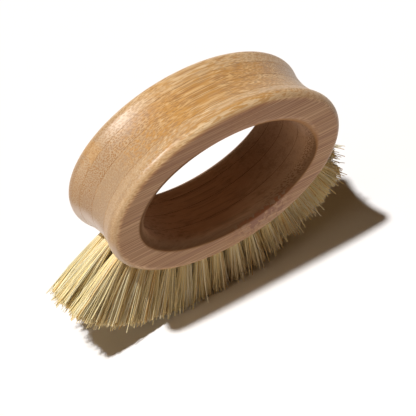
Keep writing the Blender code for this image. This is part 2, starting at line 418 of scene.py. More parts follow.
def buildBoardTree(tuftPlaces):
    tree, given, result = makeTree("loftedBoard", "GeometryNodeTree", ringInputs + [
        ("End Wall", floatSocket, 0.01),
        ("Top Wall", floatSocket, 0.01),
        ("Inner Rounding", floatSocket, 0.001),
        ("Start Depth", floatSocket, 0.0),
        ("End Depth", floatSocket, 0.01),
        ("Recess", floatSocket, 0.0),
        ("Stations", intSocket, board["stations"]),
        ("Section Points", intSocket, board["sectionPoints"]),
        ("Drilled", boolSocket, False),
        ("Material", materialSocket, None),
    ], [("Geometry", geometrySocket, None)])

    # A flat grid: along X it goes round the ring, along Y out over the rim and back in the hole
    points = given["Section Points"]
    around = points * 2.0
    grid = addNode(tree, "GeometryNodeMeshGrid", {
        "Size X": 1.0, "Size Y": 1.0, "Vertices X": given["Stations"] + 1.0, "Vertices Y": around + 1.0,
    })["Mesh"]
    flat = splitXyz(addNode(tree, "GeometryNodeInputPosition")[0])
    angle = (flat[0] + 0.5) * (2 * math.pi)
    number = maths("MODULO", maths("ROUND", (flat[1] + 0.5) * around), around)
    inside = number > points - 0.5
    last = points - 1.0
    share = choose(inside, number / last, (around - 1.0 - number) / last)
    eased = (1.0 - maths("COSINE", share * math.pi)) / 2.0
    depth = (given["End Depth"] - given["Start Depth"]) * eased + given["Start Depth"]

    # The section's offset from its oval: the groove outside, the roundings of the hole inside
    edge = maths("MINIMUM", depth, given["Ring Depth"] - depth)
    short = atLeast(given["Inner Rounding"] - edge, 0.0)
    outerOffset = (outerDip(given, depth) + given["Recess"]) * -1.0
    innerOffset = roundBack(given["Inner Rounding"], short) + given["Recess"]
    offset = choose(inside, outerOffset, innerOffset)
    length = choose(inside, given["Ring Length"], given["Ring Length"] - given["End Wall"] * 2.0)
    height = choose(inside, given["Ring Height"], given["Ring Height"] - given["Top Wall"] * 2.0)
    cosine = maths("COSINE", angle)
    sine = maths("SINE", angle)
    normalX, normalZ = ovalNormal(length, height, cosine, sine)
    x = length / 2.0 * cosine + normalX * offset
    z = height / 2.0 * sine + normalZ * offset
    place = joinXyz(x, given["Near Face"] + depth, z + given["Centre Z"])
    closed = addNode(tree, "GeometryNodeMergeByDistance", {
        "Geometry": moved(grid, place), "Distance": board["mergeDistance"],
    })[0]
    cut = addNode(tree, "GeometryNodeMeshBoolean", {
        "Mesh 1": closed, "Mesh 2": drilledHoles(tree, given, tuftPlaces),
    }, operation="DIFFERENCE", solver="EXACT")["Mesh"]
    drilled = choose(given["Drilled"], closed, cut, "GEOMETRY")

    # Edges that fold sharply stay crisp
    fold = addNode(tree, "GeometryNodeInputMeshEdgeAngle")["Unsigned Angle"]
    crisp = shaded(shaded(drilled, True, "FACE"), fold < board["sharpAngle"], "EDGE")
    finish(result, crisp, given["Material"])
    return tree


def turnFacesOut(mesh):
    bm = bmesh.new()
    bm.from_mesh(mesh)
    bmesh.ops.recalc_face_normals(bm, faces=bm.faces)
    bm.to_mesh(mesh)
    bm.free()


# Fibre rows: every fibre is a thin three-sided tube, fanned out of its tuft's hole

fibre = {
    "perTuft": 540,  # where the tips stand bottomSpacing apart, and more where they are wider
    "bottomSpacing": 0.0105,
    "radius": 0.000185,
    "girthLeast": 0.78,
    "girthMost": 1.22,
    "taper": 0.20,
    "steps": 4,
    "sides": 3,
    "length": 0.0328,
    "rootDepth": 0.0035,
    "bundleRadius": 0.00185,
    "tipReachShare": 0.43,
    "leftReachShare": 0.24,
    "tipReachAcross": 0.0038,
    "leftReachAcross": 0.0014,
    "inwardLean": 0.0036,
    "nearLeftLean": 0.0004,
    "lean": 0.0009,
    "splay": 0.0023,
    "leftSplay": 0.0024,
    "flarePower": 0.84,
    "squareOff": 1.7,
    "leastChord": 0.1,
    "trim": 0.0030,
    "trimPower": 2.2,
    "rightTrim": 0.0052,
    "pointed": 0.0034,
    "pointedGrowth": 1.2,
    "pointedAtMiddle": 0.6,
    "unevenTufts": 0.0018,
    "waver": 0.0011,
    "leftWaver": 0.22,
    "clumpsAcross": 2.2,
    "clumpPull": 0.22,
    "clumpRandomness": 0.85,
    "clumpShift": 40.0,
    "strayShare": 0.07,
    "strayReach": 0.0034,
    "strayLength": 0.0026,
    "strayThin": 0.25,
    "floorClearance": 0.0003,
    "seed": 40,
    "seedStep": 100,
}


def scatterFibres(tree, tufts, perTuft, chance):
    # Each tuft becomes as many points as it has fibres, and each point draws its own numbers
    def read(name):
        return readAttribute(tree, name)

    tufts = storeAttribute(tufts, "tuftTone", chance(11))
    tufts = storeAttribute(tufts, "tuftLean", chance(12, -1.0, 1.0))
    count = maths("ROUND", read("tipSpacing") / fibre["bottomSpacing"] * perTuft)
    many = addNode(tree, "GeometryNodeDuplicateElements", {
        "Geometry": tufts, "Amount": count,
    }, domain="POINT")["Geometry"]
    turn = chance(21, 0.0, 2 * math.pi)
    reach = maths("SQRT", chance(22))
    many = storeAttribute(many, "placeAlong", reach * maths("COSINE", turn))
    many = storeAttribute(many, "placeAcross", reach * maths("SINE", turn))
    cell = addNode(tree, "ShaderNodeTexVoronoi", {
        "Vector": joinXyz(read("placeAlong"), read("placeAcross"), read("tuftTone") * fibre["clumpShift"]),
        "Scale": fibre["clumpsAcross"],
        "Randomness": fibre["clumpRandomness"],
    }, voronoi_dimensions="3D", feature="F1")
    many = storeAttribute(many, "gathered", cell["Position"] * fibre["clumpPull"], "FLOAT_VECTOR")
    many = storeAttribute(many, "strayAlong", chance(23, -1.0, 1.0))
    many = storeAttribute(many, "strayAcross", chance(24, -1.0, 1.0))
    many = storeAttribute(many, "strayTest", chance(25))
    many = storeAttribute(many, "trimmed", chance(26) ** fibre["trimPower"])
    many = storeAttribute(many, "bend", chance(27, -1.0, 1.0))
    many = storeAttribute(many, "fibreTone", chance(28))
    return storeAttribute(many, "girth", chance(29, fibre["girthLeast"], fibre["girthMost"]))


def buildFibreTree(tuftPlaces):
    tree, given, result = makeTree("fibreRow", "GeometryNodeTree", ringInputs + [
        ("Row Depth", floatSocket, 0.0),
        ("Tufts", intSocket, row["middleTufts"]),
        ("End Trim", floatSocket, 0.0),
        ("Splay", floatSocket, 0.0),
        ("Left Splay", floatSocket, 0.0),
        ("Left Lean", floatSocket, 0.0),
        ("Tip Reach Share", floatSocket, 0.5),
        ("Left Reach Share", floatSocket, 0.0),
        ("Tip Reach Across", floatSocket, 0.003),
        ("Fibres", intSocket, fibre["perTuft"]),
        ("Fibre Radius", floatSocket, fibre["radius"]),
        ("Free Length", floatSocket, fibre["length"]),
        ("Seed", intSocket, 0),
        ("Material", materialSocket, None),
    ], [("Geometry", geometrySocket, None)])

    def chance(offset, low=0.0, high=1.0):
        return randomNumber(given["Seed"] + float(offset), low, high)

    def read(name, dataType="FLOAT"):
        return readAttribute(tree, name, dataType)

    values = {name: given[name] for name in ("Row Depth", "Tufts", "End Trim")}
    tufts = placeGroup(tree, tuftPlaces, {
        **passedOn(given), **values, "Reach": given["Free Length"],
    })["Points"]
    position = addNode(tree, "GeometryNodeInputPosition")[0]
    tufts = storeAttribute(tufts, "mouth", position, "FLOAT_VECTOR")
    many = scatterFibres(tree, tufts, given["Fibres"], chance)

    # A line of a few steps stands at each point, and each step knows how far along it is
    line = straightLine(tree, (0, 0, 1), fibre["steps"])
    stepped = storeAttribute(line, "fibreAlong", addNode(tree, "GeometryNodeSplineParameter")["Factor"])
    instances = addNode(tree, "GeometryNodeInstanceOnPoints", {"Points": many, "Instance": stepped})[0]
    strands = realized(instances)

    # How far over a fibre's tip stands, along the row and across it
    along = read("fibreAlong")
    placeAlong = read("placeAlong")
    placeAcross = read("placeAcross")
    isStray = read("strayTest") < fibre["strayShare"]
    toTheRight = maths("COSINE", read("rimAngle"))
    toTheLeft = toTheRight * -1.0
    rightSide = atLeast(toTheRight, 0.0)
    leftSide = atLeast(toTheLeft, 0.0)
    calm = leftSide * (fibre["leftWaver"] - 1.0) + 1.0
    wander = calm * (isStray * fibre["strayReach"] + fibre["waver"])
    chord = maths("SQRT", 1.0 - placeAcross * placeAcross)
    squared = maths("MINIMUM", 1.0 / atLeast(chord, fibre["leastChord"]), fibre["squareOff"])
    ownShare = 1.0 - fibre["clumpPull"]
    gathered = splitXyz(read("gathered", "FLOAT_VECTOR"))
    tipReach = read("tipSpacing") * (leftSide * given["Left Reach Share"] + given["Tip Reach Share"])
    tipAlong = (placeAlong * ownShare + gathered[0]) * squared * tipReach + read("strayAlong") * wander
    reachAcross = leftSide * fibre["leftReachAcross"] + given["Tip Reach Across"]
    tipAcross = (placeAcross * ownShare + gathered[1]) * reachAcross + read("strayAcross") * wander

    # Each tuft leans a little its own way, the right end inwards and the left end outwards
    leanAlong = read("tuftLean") * fibre["lean"] + rightSide * fibre["inwardLean"]
    leanAlong = leanAlong - leftSide * given["Left Lean"]
    leanAcross = toTheLeft * given["Left Splay"] + given["Splay"]

    # Fibres are cut unevenly, and at the right end they are worn shorter, each tuft to a point
    pointed = abs(read("tuftLean")) * fibre["unevenTufts"] + placeAlong * placeAlong * fibre["pointed"]
    growth = fibre["pointedGrowth"]
    pointedShare = maths("MULTIPLY_ADD", toTheRight, growth, fibre["pointedAtMiddle"], clamp=True)
    worn = rightSide * fibre["rightTrim"] + pointedShare * pointed
    cutBack = read("trimmed") * fibre["trim"] + worn - isStray * fibre["strayLength"]
    freeLength = given["Free Length"] + outerDip(given, given["Row Depth"]) - cutBack
    height = along * (freeLength + fibre["rootDepth"]) - fibre["rootDepth"]
    share = atLeast(height / freeLength, 0.0)
    curved = share ** fibre["flarePower"]
    bow = maths("SINE", share * math.pi) * (read("bend") * fibre["waver"])

    def flared(place, tip):
        root = place * fibre["bundleRadius"]
        return (tip - root) * curved + root

    outward = read("outward", "FLOAT_VECTOR")
    sideways = vectorMaths("CROSS_PRODUCT", (0.0, 1.0, 0.0), outward)
    alongNow = leanAlong * share + (flared(placeAlong, tipAlong) + bow)
    acrossNow = leanAcross * share + flared(placeAcross, tipAcross)
    place = read("mouth", "FLOAT_VECTOR") + outward * height + sideways * alongNow
    axes = splitXyz(place + joinXyz(0.0, acrossNow, 0.0))
    resting = joinXyz(axes[0], axes[1], atLeast(axes[2], fibre["floorClearance"]))
    shaped = moved(strands, resting)

    # The lines become tubes, thinner towards their tips
    girth = (1.0 - along * fibre["taper"] - isStray * fibre["strayThin"]) * read("girth")
    sized = addNode(tree, "GeometryNodeSetCurveRadius", {"Curve": shaped, "Radius": girth})[0]
    outline = addNode(tree, "GeometryNodeCurvePrimitiveCircle", {
        "Resolution": fibre["sides"], "Radius": given["Fibre Radius"],
    }, mode="RADIUS")["Curve"]
    tubes = addNode(tree, "GeometryNodeCurveToMesh", {
        "Curve": sized, "Profile Curve": outline, "Fill Caps": True,
    })[0]
    kept = shaded(tubes, True, "FACE")
    for name in ("outward", "mouth", "placeAlong", "placeAcross", "strayAlong", "strayAcross", "strayTest",
                 "trimmed", "bend", "girth", "gathered", "rimAngle", "tuftLean", "tipSpacing"):
        kept = addNode(tree, "GeometryNodeRemoveAttribute", {"Geometry": kept, "Name": name})[0]
    finish(result, kept, given["Material"])
    return tree


# Helpers for materials

def ramp(value, stops):
    # Stops are (position, colour)
    node = value.tree.nodes.new("ShaderNodeValToRGB")
    elements = node.color_ramp.elements
    while len(elements) < len(stops):
        elements.new(0.5)
    for element, (place, colour) in zip(elements, stops):
        element.position = place
        element.color = (*colour, 1.0)
    feed(node.inputs["Fac"], value)
    return Wire(value.tree, node.outputs["Color"])


def tint(colour, share, tone):
    # The tone covers this share of the colour; each is a wire or plain red, green and blue
    a, b = [each if isinstance(each, Wire) else (*each, 1.0) for each in (colour, tone)]
    return addNode(share.tree, "ShaderNodeMix", {"Factor": share, 6: a, 7: b}, data_type="RGBA")[2]


def rescale(value, low, high, newLow=0.0, newHigh=1.0):
    return addNode(value.tree, "ShaderNodeMapRange", {
        "Value": value, "From Min": low, "From Max": high, "To Min": newLow, "To Max": newHigh,
    }, interpolation_type="SMOOTHSTEP")[0]


def blend(factor, a, b):
    return addNode(factor.tree, "ShaderNodeMix", {"Factor": factor, 2: a, 3: b}, data_type="FLOAT")[0]


def noise(vector, scale, detail):
    return addNode(vector.tree, "ShaderNodeTexNoise", {
        "Vector": vector, "Scale": scale, "Detail": detail, "Roughness": 0.55, "Distortion": 0.0,
    }, noise_dimensions="3D")[0]


def numbers(*names):
    return [(name, floatSocket, None) for name in names]


def principled(name):
    material = bpy.data.materials.new(name)
    material.use_nodes = True
    tree = material.node_tree
    return material, tree, tree.nodes["Principled BSDF"]


def addRelief(tree, shader, strength, distance, height):
    bump = addNode(tree, "ShaderNodeBump", {"Strength": strength, "Distance": distance, "Height": height})
    feed(shader.inputs["Normal"], bump["Normal"])


# Shader groups that the boards and the glue share. Each pair is where a mask starts and is full

grain = {
    "driftScale": 60.0,
    "driftStretch": 0.25,
    "driftReach": 0.0011,
    "bundleScale": 1300.0,
    "bundleRandomness": 0.75,
    "bundleEdge": (0.46, 0.22),
    "streakScale": 330.0,
    "streakStretch": 0.022,
    "fineScale": 1120.0,
    "fineShare": 0.45,
    "bandScale": 95.0,
    "bandStretch": 0.10,
    "strongBundles": (0.35, 0.62),
    "weakestBundle": 0.60,
    "fineHeight": 0.5,
    "bundleHeight": 0.6,
}


def buildBambooGrain():
    # Vascular bundles run along X, so they show as lines on the long sides and as dots at the ends
    inputs = [("Shift", vectorSocket, (0.0, 0.0, 0.0))]
    outputs = numbers("Bundles", "Streaks", "Bands", "Height")
    tree, given, result = makeTree("bambooGrain", "ShaderNodeTree", inputs, outputs)
    shifted = addNode(tree, "ShaderNodeTexCoord")["Object"] + given["Shift"]
    waver = noise(shifted * (grain["driftStretch"], 1.0, 1.0), grain["driftScale"], detail=2.0)
    drift = (waver - 0.5) * grain["driftReach"]
    bent = shifted + joinXyz(0.0, drift, drift)
    axes = splitXyz(bent)
    cells = addNode(tree, "ShaderNodeTexVoronoi", {
        "Vector": joinXyz(axes[1], axes[2]),
        "Scale": grain["bundleScale"],
        "Randomness": grain["bundleRandomness"],
    }, feature="F1", voronoi_dimensions="2D")["Distance"]
    bundles = rescale(cells, *grain["bundleEdge"])
    along = bent * (grain["streakStretch"], 1.0, 1.0)
    fine = noise(along, grain["fineScale"], detail=2.0)
    streaks = noise(along, grain["streakScale"], detail=3.0)
    strength = rescale(streaks, *grain["strongBundles"], grain["weakestBundle"], 1.0)
    feed(result["Bundles"], bundles * strength)
    feed(result["Streaks"], fine * grain["fineShare"] + streaks * (1.0 - grain["fineShare"]))
    feed(result["Bands"], noise(bent * (grain["bandStretch"], 1.0, 1.0), grain["bandScale"], detail=2.0))
    feed(result["Height"], fine * grain["fineHeight"] - bundles * grain["bundleHeight"])
    return tree


stemNode = {
    "raggedScale": 260.0,
    "raggedReach": 0.010,
    "core": 0.25,
    "dashScale": 1050.0,
    "dashStretch": 0.38,
    "dashEdge": (0.45, 0.20),
}


def buildBambooNode():
    # At a stem's node the bundles swirl, which leaves a golden band of short brown dashes
    tree, given, result = makeTree("bambooNode", "ShaderNodeTree", [
        ("Node X", floatSocket, 0.0),
        ("Slant", floatSocket, 0.0),
        ("Width", floatSocket, 0.004),
        ("Shift", vectorSocket, (0.0, 0.0, 0.0)),
    ], numbers("Mask", "Dashes"))
    place = addNode(tree, "ShaderNodeTexCoord")["Object"]
    axes = splitXyz(place)
    shifted = place + given["Shift"]
    ragged = (noise(shifted, stemNode["raggedScale"], detail=3.0) - 0.5) * stemNode["raggedReach"]
    away = abs(axes[0] - given["Node X"] + (axes[1] * given["Slant"] + ragged))
    mask = rescale(away / given["Width"], 1.0, stemNode["core"])
    spots = addNode(tree, "ShaderNodeTexVoronoi", {
        "Vector": shifted * (stemNode["dashStretch"], 1.0, 1.0),
        "Scale": stemNode["dashScale"],
        "Randomness": 1.0,
    }, feature="F1", voronoi_dimensions="3D")["Distance"]
    feed(result["Mask"], mask)
    feed(result["Dashes"], rescale(spots, *stemNode["dashEdge"]) * mask)
    return tree


masks = {
    # X or Z in a name stands for a place, measured from the ring's middle
    "edgeStart": (0.12, 0.50),
    "edgeStop": (0.98, 0.80),
    "flatTurn": (0.86, 0.97),
    "lipTurn": (0.30, 0.72),
    "upperTurn": (0.0, 0.35),
    "topTurn": (0.70, 0.96),
    "endTurn": (0.25, 0.80),
    "wornDown": (0.02, -0.30),
    "wornLeft": (-0.40, -0.75),
    "fadedLeft": (-0.08, -0.55),
    "combedX": (-0.028, -0.008),
    "combedLeast": 0.30,
    "lipRightX": (0.006, 0.034),
    "flatTopZ": (0.012, 0.034),
    "rightX": (0.008, 0.036),
    "wallTurn": (0.30, 1.0),
    "softHoleX": (-0.028, 0.004),  # the hole's painted shade ends crisply at the left and softly here
    "softHoleZ": (-0.010, 0.010),
    "holeStart": (0.03, 0.22),  # crisp and soft
    "holeBlend": (0.20, 0.62),
    "speckleX": (-0.004, 0.012),
    "speckleEndX": (0.038, 0.026),
    "speckleZ": (0.0, -0.012),
    "speckleReach": (1.54, 1.36),  # in shares of the hole's size
    "speckleTurn": (0.66, 0.40),
    "speckleFace": (0.0, -0.30),
    "speckleScale": 400.0,
    "speckleSpots": (0.54, 0.62),
    "denseReach": (1.54, 1.12),
    "denseGain": 0.10,
    "bleachedSpots": (0.48, 0.40),
    "dashScale": 1060.0,
    "dashStretch": 0.13,
    "dashSpots": (0.50, 0.58),
    "patchScale": 120.0,
}


def buildRingSides():
    # Masks for the sides of the ring, from the way that the surface looks and from where it is
    names = ("Flat", "Edges", "Lip", "Lip Right", "Ends", "Hole", "Wall", "Floor Reflection", "Left Shade", "Right",
             "Flat Top", "Speckled", "Speckle Glints", "Dashes", "Top", "Patches")
    tree, given, result = makeTree("ringSides", "ShaderNodeTree", [
        ("Centre Z", floatSocket, 0.0),
        ("Hole Shape", vectorSocket, (0.0, 0.0, 0.0)),
        ("Patch Scale", floatSocket, masks["patchScale"]),
    ], numbers(*names))

    def mask(value, name, *span):
        return rescale(value, *masks[name], *span)

    coordinates = addNode(tree, "ShaderNodeTexCoord")
    place = coordinates["Object"]
    normal = coordinates["Normal"]
    facing = splitXyz(normal)
    fromCentre = place - joinXyz(0.0, 0.0, given["Centre Z"])
    away = splitXyz(fromCentre)
    outward = vectorMaths("NORMALIZE", fromCentre * (1.0, 0.0, 1.0))
    inward = vectorMaths("DOT_PRODUCT", normal, outward) * -1.0

    # The outside: the flat faces, the rounded lips, the ends where the grain is cut, and the top
    turn = abs(facing[1])
    flat = mask(turn, "flatTurn")
    edges = mask(turn, "edgeStart") * mask(turn, "edgeStop")
    feed(result["Flat"], flat)
    feed(result["Flat Top"], flat * mask(away[2], "flatTopZ"))
    feed(result["Edges"], edges)
    combing = mask(away[0], "combedX", masks["combedLeast"], 1.0)
    feed(result["Lip"], edges * mask(facing[2], "lipTurn") * combing)
    # The upper lip towards the right, for painted shade where it turns from the sun
    feed(result["Lip Right"], edges * mask(facing[2], "upperTurn") * mask(away[0], "lipRightX"))
    feed(result["Ends"], mask(abs(facing[0]), "endTurn"))
    # A pale patch low on the left end: painted reflection of the white floor
    feed(result["Floor Reflection"], mask(facing[2], "wornDown") * mask(facing[0], "wornLeft"))
    # Surfaces that face left, for painted shade
    feed(result["Left Shade"], mask(facing[0], "fadedLeft"))
    feed(result["Top"], mask(facing[2], "topTurn"))
    feed(result["Right"], mask(away[0], "rightX"))

    # The hole's painted shade, crisp at the left and soft at the right
    softness = mask(away[0], "softHoleX") * mask(away[2], "softHoleZ")
    holeStart = blend(softness, *masks["holeStart"])
    holeBlend = blend(softness, *masks["holeBlend"])
    feed(result["Hole"], rescale(inward - holeStart, 0.0, holeBlend))
    feed(result["Wall"], mask(inward, "wallTurn"))

    # Speckles low at the right, between the hole and the near face, denser towards the hole
    fromHole = vectorMaths("LENGTH", fromCentre * given["Hole Shape"])
    speckled = mask(away[2], "speckleZ") * (mask(fromHole, "speckleReach") * mask(inward, "speckleTurn"))
    speckled = speckled * mask(away[0], "speckleX") * mask(facing[1], "speckleFace")
    speckled = speckled * mask(away[0], "speckleEndX")
    spots = noise(place, masks["speckleScale"], detail=3.0)
    dense = mask(fromHole, "denseReach", 0.0, masks["denseGain"])
    feed(result["Speckled"], speckled * mask(spots + dense, "speckleSpots"))
    # Pale pink spots among the speckles: painted highlights
    feed(result["Speckle Glints"], speckled * mask(spots, "bleachedSpots"))

    dashes = noise(place * (masks["dashStretch"], 1.0, 1.0), masks["dashScale"], detail=1.5)
    feed(result["Dashes"], mask(dashes, "dashSpots"))
    feed(result["Patches"], noise(place, given["Patch Scale"], detail=4.0))
    return tree


def sidesInputs():
    # The hole's shape is one over its half length and half height
    holeShape = (1 / (ring["length"] / 2 - ring["endWall"]), 0.0, 1 / (ring["height"] / 2 - ring["topWall"]))
    return {"Centre Z": ring["centreZ"], "Hole Shape": holeShape}


# Bamboo: one recipe, with each board's own tones and its own stem nodes as (x, slant, width)

boards = {
    "near": {
        "node": "board_near", "slot": "bamboo_near", "drilled": False,
        "pale": (0.840, 0.625, 0.355), "light": (0.705, 0.475, 0.242),
        "middle": (0.580, 0.364, 0.168), "dark": (0.340, 0.175, 0.060),
        "dots": 0.55, "lines": 0.70, "topGold": 0.18, "dashes": 0.60, "ends": 0.58,
        "stemNodes": [(0.014, -0.35, 0.0170)],
        "shift": (0.013, 0.21, 0.07),
    },
    "second": {
        "node": "board_second", "slot": "bamboo_second", "drilled": True,
        "pale": (0.790, 0.550, 0.280), "light": (0.640, 0.400, 0.170),
        "middle": (0.500, 0.275, 0.095), "dark": (0.310, 0.150, 0.045),
        "dots": 0.50, "lines": 0.75, "topGold": 0.28, "dashes": 0.68, "ends": 0.80,
        "stemNodes": [(-0.017, 0.4, 0.0060)],
        "shift": (0.31, 0.05, 0.17),
    },
    "third": {
        "node": "board_third", "slot": "bamboo_third", "drilled": True,
        "pale": (0.780, 0.540, 0.270), "light": (0.620, 0.380, 0.160),
        "middle": (0.505, 0.270, 0.098), "dark": (0.300, 0.145, 0.045),
        "dots": 1.00, "lines": 0.80, "topGold": 0.24, "dashes": 0.50, "ends": 0.82,
        "stemNodes": [(-0.016, 0.3, 0.0080), (0.019, 0.2, 0.0060), (0.032, 0.2, 0.0070)],
        "shift": (0.11, 0.33, 0.41),
    },
    "far": {
        "node": "board_far", "slot": "bamboo_far", "drilled": False,
        "pale": (0.790, 0.565, 0.320), "light": (0.695, 0.465, 0.235),
        "middle": (0.630, 0.395, 0.175), "dark": (0.320, 0.155, 0.052),
        "dots": 0.95, "lines": 0.60, "topGold": 0.08, "dashes": 0.25, "ends": 0.84,
        "stemNodes": [(-0.012, 0.3, 0.0070), (-0.050, 0.1, 0.0045)],
        "shift": (0.23, 0.47, 0.29),
    },
}

oil = {
    "streakStops": (0.38, 0.46, 0.53, 0.61),
    "bandSpots": (0.42, 0.62),
    "bandShare": 0.22,
    "topTone": (0.500, 0.240, 0.045),
    "endTone": (0.310, 0.210, 0.116),
    "fadedTone": (0.420, 0.300, 0.195),
    "fadedShare": 0.50,
    "goldTone": (0.560, 0.290, 0.070),
    "goldShare": 0.35,
    "nodeDashShare": 0.65,
    "edgeShare": 0.18,
    "lipTone": (0.510, 0.280, 0.095),
    "lipLeast": 0.05,
    "lipShare": 0.76,
    "lipPale": (0.880, 0.710, 0.465),
    "lipPaleShare": 0.42,
    "lipRightShare": 0.55,
    "flatLines": 1.00,
    "flatTone": (0.520, 0.280, 0.160),
    "flatShare": 0.38,
    "flatTopTone": (0.300, 0.120, 0.050),
    "flatTopShare": 0.36,
    "flatStreaks": (0.50, 0.40),
    "flatStreakShare": 0.34,
    "wornTone": (0.700, 0.620, 0.580),
    "wornShare": 0.80,
    # Tones and shares of the painted shade inside the hole
    "holeTone": (0.560, 0.365, 0.245),
    "holeEdgeTone": (0.190, 0.108, 0.060),
    "holeStreaks": (0.55, 0.35),
    "holeStreakShare": 0.45,
    "holeRightShare": 0.45,
    "holeShare": 0.90,
    "hatchTone": (0.110, 0.050, 0.022),
    "hatchShare": 0.80,
    "edgeLine": 2.4,
    "edgeLineTone": (0.440, 0.220, 0.080),
    "bleachedTone": (0.600, 0.430, 0.340),
    "bleachedShare": 0.22,
    "speckleTone": (0.310, 0.125, 0.065),
    "speckleShare": 0.80,
    "specular": 0.03,  # the sheen comes from the coat, which the hole doesn't have
    "coatWeight": 0.90,
    "coatDulled": -0.25,
    "coatRoughness": 0.40,
    "roughness": 0.48,
    "bundleRoughness": 0.14,
    "edgeRoughness": 0.05,
    "patchRoughness": 0.12,
    "holeRoughness": 0.75,
    "bumpStrength": 0.55,
    "bumpDistance": 0.00010,
}


def grainColour(tree, look, lines, sides, nodeGroup):
    # Streaks, cut bundles and stem nodes
    tones = [look[name] for name in ("dark", "middle", "light", "pale")]
    colour = ramp(lines["Streaks"], list(zip(oil["streakStops"], tones)))
    colour = tint(colour, rescale(lines["Bands"], *oil["bandSpots"], 0.0, oil["bandShare"]), look["middle"])
    # Painted light: tops that face the sun are tinted darker and more golden
    colour = tint(colour, sides["Top"] * look["topGold"], oil["topTone"])
    # Cut ends darker and greyer: partly the end grain's own colour, partly painted shade
    colour = tint(colour, sides["Ends"] * look["ends"], oil["endTone"])
    # Painted shade: surfaces that face left are darker and greyer
    colour = tint(colour, sides["Left Shade"] * oil["fadedShare"], oil["fadedTone"])
    dotted = rescale(sides["Ends"], 0.0, 1.0, look["lines"], look["dots"])
    dotted = maths("MULTIPLY_ADD", sides["Flat"], oil["flatLines"], dotted, clamp=True)
    colour = tint(colour, lines["Bundles"] * dotted, look["dark"])
    for x, slant, width in look["stemNodes"]:
        values = {"Node X": x, "Slant": slant, "Width": width, "Shift": look["shift"]}
        mark = placeGroup(tree, nodeGroup, values)
        colour = tint(colour, mark["Mask"] * oil["goldShare"], oil["goldTone"])
        colour = tint(colour, mark["Dashes"] * oil["nodeDashShare"], look["dark"])
    return colour


def outsideColour(colour, look, lines, sides):
    # Lips that are combed pale and gold, with painted shade towards the right, a brushed top, redder flat
    # faces, and a pale patch low at the left that is a painted reflection of the white floor
    colour = tint(colour, sides["Edges"] * oil["edgeShare"], look["light"])
    betweenDashes = rescale(sides["Dashes"], 1.0, 0.0, 0.0, oil["lipPaleShare"])
    colour = tint(colour, sides["Lip"] * betweenDashes, oil["lipPale"])
    dashes = rescale(sides["Dashes"], 0.0, 1.0, oil["lipLeast"], oil["lipShare"])
    colour = tint(colour, sides["Lip"] * dashes, oil["lipTone"])
    # Painted shade: the lip darkens towards the right
    colour = tint(colour, sides["Lip Right"] * oil["lipRightShare"], look["dark"])
    colour = tint(colour, sides["Top"] * sides["Dashes"] * look["dashes"], oil["topTone"])
    colour = tint(colour, sides["Flat"] * oil["flatShare"], oil["flatTone"])
    colour = tint(colour, sides["Flat Top"] * oil["flatTopShare"], oil["flatTopTone"])
    streaks = rescale(lines["Streaks"], *oil["flatStreaks"], 0.0, oil["flatStreakShare"])
    colour = tint(colour, sides["Flat"] * streaks, oil["flatTopTone"])
    # Painted reflection of the white floor, low on the left end
    return tint(colour, sides["Floor Reflection"] * oil["wornShare"], oil["wornTone"])


def holeShadeColour(lines, sides):
    # Painted shade inside the hole: dark wood, streaked, with a hatch of cut bundles on its rounding at the
    # right
    colour = tint(oil["holeEdgeTone"], sides["Wall"], oil["holeTone"])
    streaks = rescale(lines["Streaks"], *oil["holeStreaks"], 0.0, oil["holeStreakShare"])
    colour = tint(colour, streaks, oil["holeEdgeTone"])
    # Painted shade: darker still at the right of the hole
    colour = tint(colour, sides["Right"] * oil["holeRightShare"], oil["holeEdgeTone"])
    hatched = lines["Bundles"] * (sides["Right"] * sides["Edges"]) * oil["hatchShare"]
    return tint(colour, hatched, oil["hatchTone"])


def bambooMaterial(name, look, groups):
    material, tree, shader = principled(name)
    lines = placeGroup(tree, groups["grain"], {"Shift": look["shift"]})
    sides = placeGroup(tree, groups["sides"], sidesInputs())
    colour = grainColour(tree, look, lines, sides, groups["node"])
    colour = outsideColour(colour, look, lines, sides)
    # Painted shade covers the inside of the hole
    colour = tint(colour, sides["Hole"] * oil["holeShare"], holeShadeColour(lines, sides))
    # A painted dark line along the edge of the hole's painted shade
    holeShadeEdge = sides["Hole"] * (1.0 - sides["Hole"])
    colour = tint(colour, holeShadeEdge * oil["edgeLine"], oil["edgeLineTone"])
    # Painted highlights: pale pink spots among the speckles
    colour = tint(colour, sides["Speckle Glints"] * oil["bleachedShare"], oil["bleachedTone"])
    colour = tint(colour, sides["Speckled"] * oil["speckleShare"], oil["speckleTone"])
    feed(shader.inputs["Base Color"], colour)
    rough = lines["Bundles"] * oil["bundleRoughness"] + oil["roughness"]
    rough = rough - sides["Edges"] * oil["edgeRoughness"]
    rough = (sides["Patches"] - 0.5) * oil["patchRoughness"] + rough
    feed(shader.inputs["Roughness"], blend(sides["Hole"], rough, oil["holeRoughness"]))
    sheen = lines["Bundles"] * oil["coatDulled"] + oil["coatWeight"]
    feed(shader.inputs["Coat Weight"], blend(sides["Hole"], sheen, 0.0))
    shader.inputs["Coat Roughness"].default_value = oil["coatRoughness"]
    shader.inputs["Specular IOR Level"].default_value = oil["specular"]
    addRelief(tree, shader, oil["bumpStrength"], oil["bumpDistance"], lines["Height"])
    return material


# Glue: a thin film in each gap between two boards, mottled brown, with painted shade making it darker in the
# hole

glue = {
    "recess": 0.00003,
    "clearance": 0.00002,
    "sectionPoints": 6,
    "mottleScale": 220.0,
    "tones": [(0.38, (0.26, 0.125, 0.045)), (0.60, (0.53, 0.31, 0.130))],
    # Painted shade in the hole
    "holeTone": (0.055, 0.018, 0.006),
    "holeShare": 0.95,
    "roughSpots": (0.3, 0.7),
    "roughness": (0.40, 0.60),
    "specular": 0.03,
    "bumpStrength": 0.3,
    "bumpDistance": 0.00004,
}


